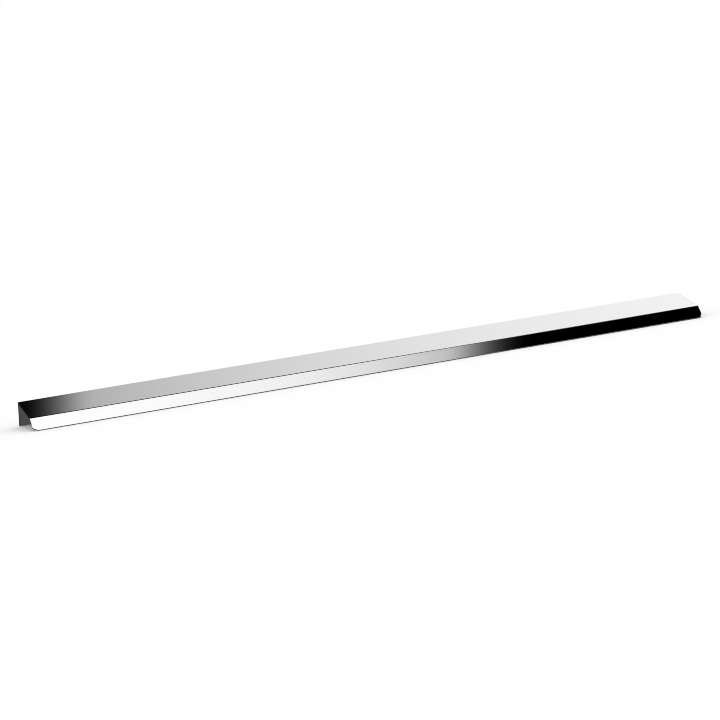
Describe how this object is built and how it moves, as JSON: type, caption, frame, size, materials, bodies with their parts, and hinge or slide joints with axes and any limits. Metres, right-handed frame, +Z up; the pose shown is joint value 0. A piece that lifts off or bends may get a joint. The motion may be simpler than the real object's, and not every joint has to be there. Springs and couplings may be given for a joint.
{
  "type": "handleless finger pull profile",
  "caption": "Thin angled metal profile screwed behind a door's top edge, with a plate over the edge and a sloping finger lip in front.",
  "frame": {"origin": "on the floor under the middle of the bounding box, with the profile lying loose on the lower edges of its leg and its lip", "axes": "+X along the profile, -Y towards the finger lip, +Z up; as it lies, the profile is tipped 17.54 degrees forward about X from the way it is fitted"},
  "size_m": [0.72, 0.0536, 0.0241],
  "materials": {
    "polished_chrome": "polished"
  },
  "bodies": {
    "root": {"finger_pull_profile": "polished_chrome"}
  },
  "joints": []
}
